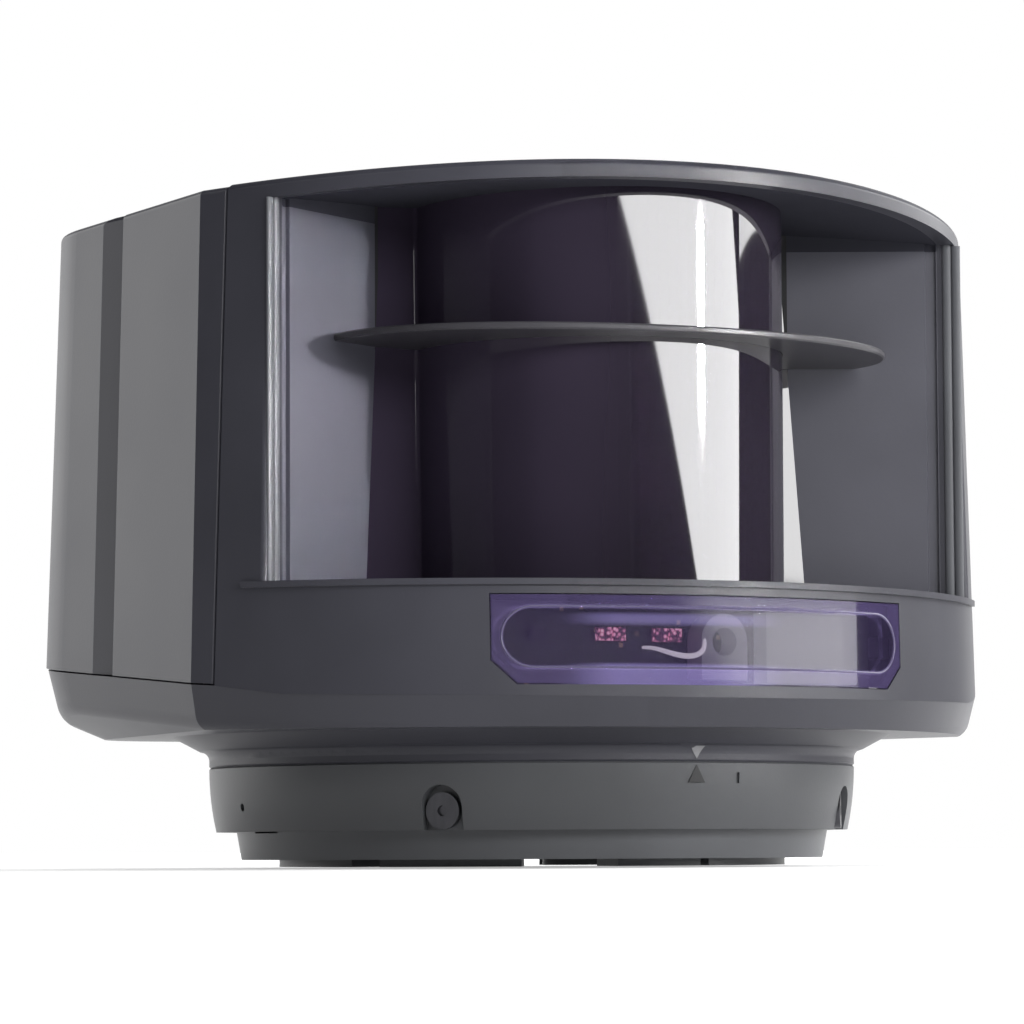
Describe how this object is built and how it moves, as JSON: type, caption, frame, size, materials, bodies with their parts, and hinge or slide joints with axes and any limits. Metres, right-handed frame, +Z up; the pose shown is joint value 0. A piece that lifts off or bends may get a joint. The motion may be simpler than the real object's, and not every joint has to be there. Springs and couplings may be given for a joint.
{
  "type": "laser presence sensor",
  "caption": "Laser presence sensor: rounded head with a recessed curved window, a divider fin and a violet indicator panel, on a bracket that tilts and swivels; its rear cover pulls off.",
  "frame": {"origin": "centre of the bracket's mounting face, on the axis of the bracket", "axes": "+Z up the bracket's axis, -Y the way the laser window looks, X across the width"},
  "size_m": [0.112, 0.0952, 0.084],
  "materials": {
    "housing_plastic": "fine satin texture",
    "bracket_plastic": "fine satin texture",
    "window_plastic": "polished",
    "seal_rubber": "matt",
    "fin_plastic": "satin",
    "violet_plastic": "polished",
    "board": "satin",
    "lamp_plastic": "polished",
    "holder_plastic": "satin",
    "guide_plastic": "frosted",
    "frame_metal": "cast",
    "steel": "bright",
    "dark_steel": "blackened",
    "motor_iron": "varnished",
    "motor_metal": "turned",
    "mirror_coat": "polished",
    "laser_brass": "turned",
    "lens_glass": "polished",
    "chip_plastic": "polished",
    "socket_plastic": "satin"
  },
  "bodies": {
    "bracket_base": {"base_plate": "bracket_plastic", "tilt_pins": "steel"},
    "bracket_ring": {"tilt_ring": "bracket_plastic", "lock_screws": "dark_steel"},
    "head": {"lower_housing": "housing_plastic", "front_housing": "housing_plastic", "laser_window": "window_plastic", "window_seal": "seal_rubber", "divider_fin": "fin_plastic", "indicator_window": "violet_plastic", "led_board": "board", "status_leds": "lamp_plastic", "aperture_holder": "holder_plastic", "light_guide": "guide_plastic", "optics_frame": "frame_metal", "frame_screws": "steel", "shaft_bearings": "steel", "motor_stator": "motor_iron", "laser_module": "laser_brass", "collimator_lens": "lens_glass", "receiver_lens": "lens_glass", "receiver_board": "board", "photo_detector": "chip_plastic", "main_board": "board", "connector_socket": "socket_plastic"},
    "mirror": {"scan_mirror": "mirror_coat", "motor_rotor": "motor_metal", "mirror_shaft": "steel"},
    "cover": {"rear_cover": "housing_plastic"}
  },
  "joints": [
    {"name": "tilt", "type": "hinge", "parent": "bracket_base", "child": "bracket_ring", "pos_m": [0, 0, 0.0074], "axis": [1, 0, 0], "range_deg": [-3, 5]},
    {"name": "swivel", "type": "hinge", "parent": "bracket_ring", "child": "head", "pos_m": [0, 0, 0.0115], "axis": [0, 0, 1], "range_deg": [-5, 5]},
    {"name": "mirror_spin", "type": "hinge", "parent": "head", "child": "mirror", "pos_m": [0, 0.006, 0.055], "axis": [0, 0, 1], "continuous": true},
    {"name": "cover_slide", "type": "slide", "parent": "head", "child": "cover", "axis": [0, 0.9973, 0.0732], "range_m": [0, 0.03]}
  ]
}
